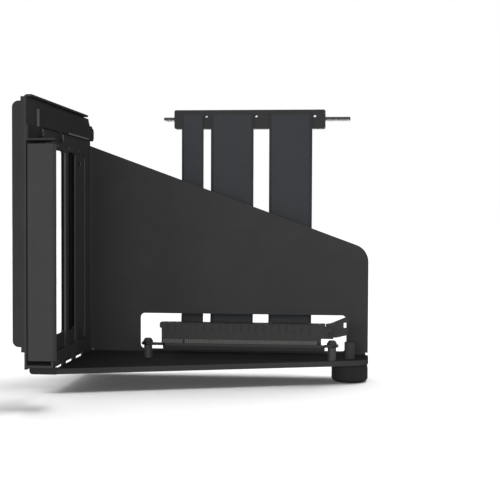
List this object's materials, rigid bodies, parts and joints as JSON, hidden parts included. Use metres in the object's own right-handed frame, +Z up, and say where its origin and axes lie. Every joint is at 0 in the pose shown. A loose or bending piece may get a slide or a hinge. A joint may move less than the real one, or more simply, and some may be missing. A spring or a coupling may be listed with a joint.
{
  "type": "vertical graphics card mount",
  "caption": "Folded sheet steel bracket that holds a graphics card upright over a riser socket, with a slot wall, side panel, base, flat riser ribbons with an edge plug and an adjustable foot.",
  "frame": {"origin": "bottom centre of the mount without the ribbons and their plug: the middle of its length and depth, at the level of the foot's underside", "axes": "+X along the side panel away from the slot wall, +Y away from the viewer towards the back of the side panel, +Z up"},
  "size_m": [0.164, 0.1516, 0.1495],
  "materials": {
    "steel": "matte black powder coat",
    "plate_steel": "matte black powder coat",
    "black_screw": "black oxide",
    "plastic": "fine matte",
    "board": "black solder mask",
    "contact": "plated",
    "ribbon": "matte",
    "foot_rubber": "matte"
  },
  "bodies": {
    "mount": {"body_sheet": "steel", "outer_plate": "plate_steel", "slot_blanks": "steel", "near_channel": "steel", "clamp_shelf": "steel", "retaining_bar": "steel", "bar_screws": "black_screw", "corner_pad": "foot_rubber", "foot_sleeve": "steel", "socket_board": "board", "board_underlay": "plastic", "board_standoffs": "black_screw", "board_screws": "black_screw", "socket_housing": "plastic", "socket_contacts": "contact", "plug_bar": "plastic", "plug_board": "board", "ribbon_left": "ribbon", "ribbon_middle": "ribbon", "ribbon_right": "ribbon"},
    "latch": {"socket_latch": "plastic"},
    "foot": {"foot_pad": "foot_rubber", "foot_stud": "black_screw"}
  },
  "joints": [
    {"name": "latch_hinge", "type": "hinge", "parent": "mount", "child": "latch", "pos_m": [0.0615, 0.0334, 0.0262], "axis": [0, 1, 0], "range_deg": [0, 25]},
    {"name": "foot_travel", "type": "slide", "parent": "mount", "child": "foot", "axis": [0, 0, -1], "range_m": [0, 0.005]}
  ]
}
